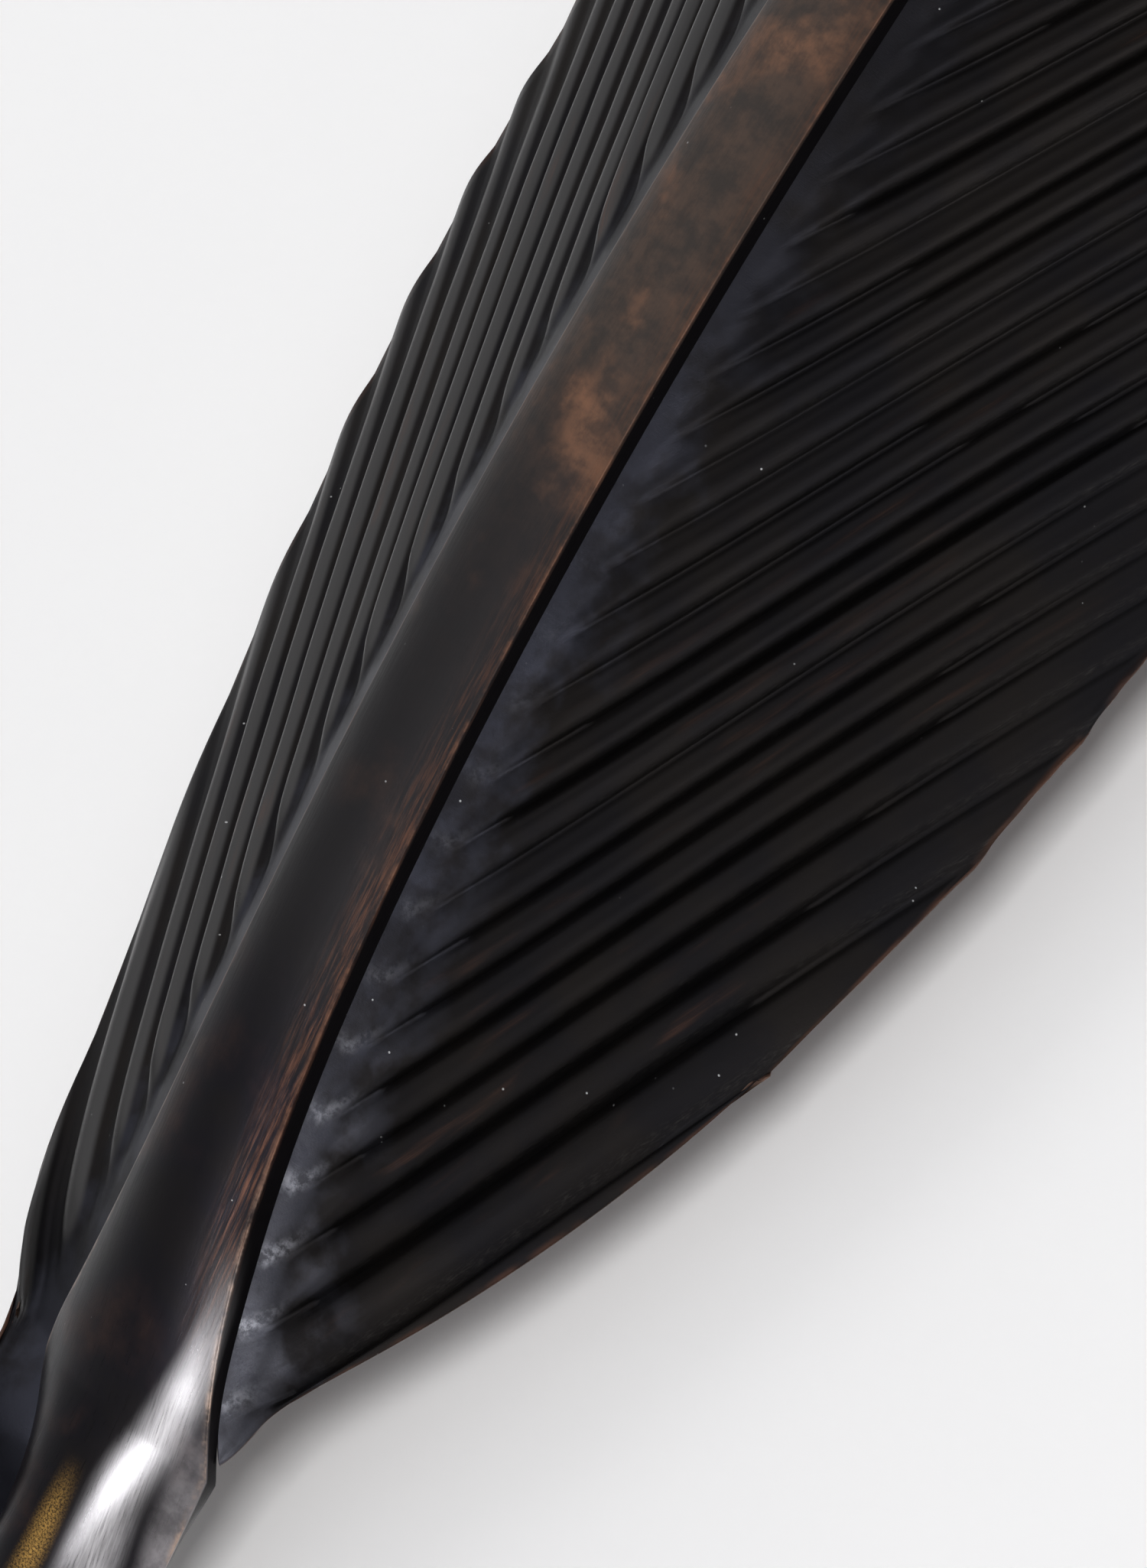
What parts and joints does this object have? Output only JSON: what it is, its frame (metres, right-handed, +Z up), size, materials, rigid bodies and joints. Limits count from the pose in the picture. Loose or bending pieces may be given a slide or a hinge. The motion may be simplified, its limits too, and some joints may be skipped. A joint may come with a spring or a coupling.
{
  "type": "wall-hung metal leaf sculpture",
  "caption": "Tall formed sheet-metal leaf with a raised midrib, pleated halves and a rolled stem, held off the wall by two standoffs.",
  "frame": {"origin": "centre of the upper flange's back face, on the wall", "axes": "+Z up the leaf to its tip, -Y out of the wall towards the viewer, +X to the leaf's right as seen from the front"},
  "size_m": [0.2685, 0.1251, 1.166],
  "materials": {
    "blade_patina": "dark patina on copper sheet, waxed, satin",
    "midrib_patina": "dark patina on copper sheet, brushed through to copper on the edges",
    "back_strip": "dull brown copper",
    "fixing_brass": "aged satin brass",
    "set_screw_steel": "black oxide"
  },
  "bodies": {
    "wall_mounts": {"upper_flange": "fixing_brass", "lower_flange": "fixing_brass"},
    "leaf": {"left_blade": "blade_patina", "right_blade": "blade_patina", "midrib": "midrib_patina", "backing_bar": "back_strip", "upper_saddle": "back_strip", "lower_saddle": "back_strip", "upper_standoff": "fixing_brass", "lower_standoff": "fixing_brass"},
    "upper_lock": {"upper_set_screw": "set_screw_steel"},
    "lower_lock": {"lower_set_screw": "set_screw_steel"}
  },
  "joints": [
    {"name": "lift_off", "type": "slide", "parent": "wall_mounts", "child": "leaf", "axis": [0, -1, 0], "range_m": [0, 0.024]},
    {"name": "upper_lock_turn", "type": "hinge", "parent": "leaf", "child": "upper_lock", "pos_m": [0, -0.014, 0], "axis": [0, 0, -1], "range_deg": [0, 720]},
    {"name": "lower_lock_turn", "type": "hinge", "parent": "leaf", "child": "lower_lock", "pos_m": [-0.00898, -0.014, -0.44], "axis": [0, 0, -1], "range_deg": [0, 720]}
  ]
}
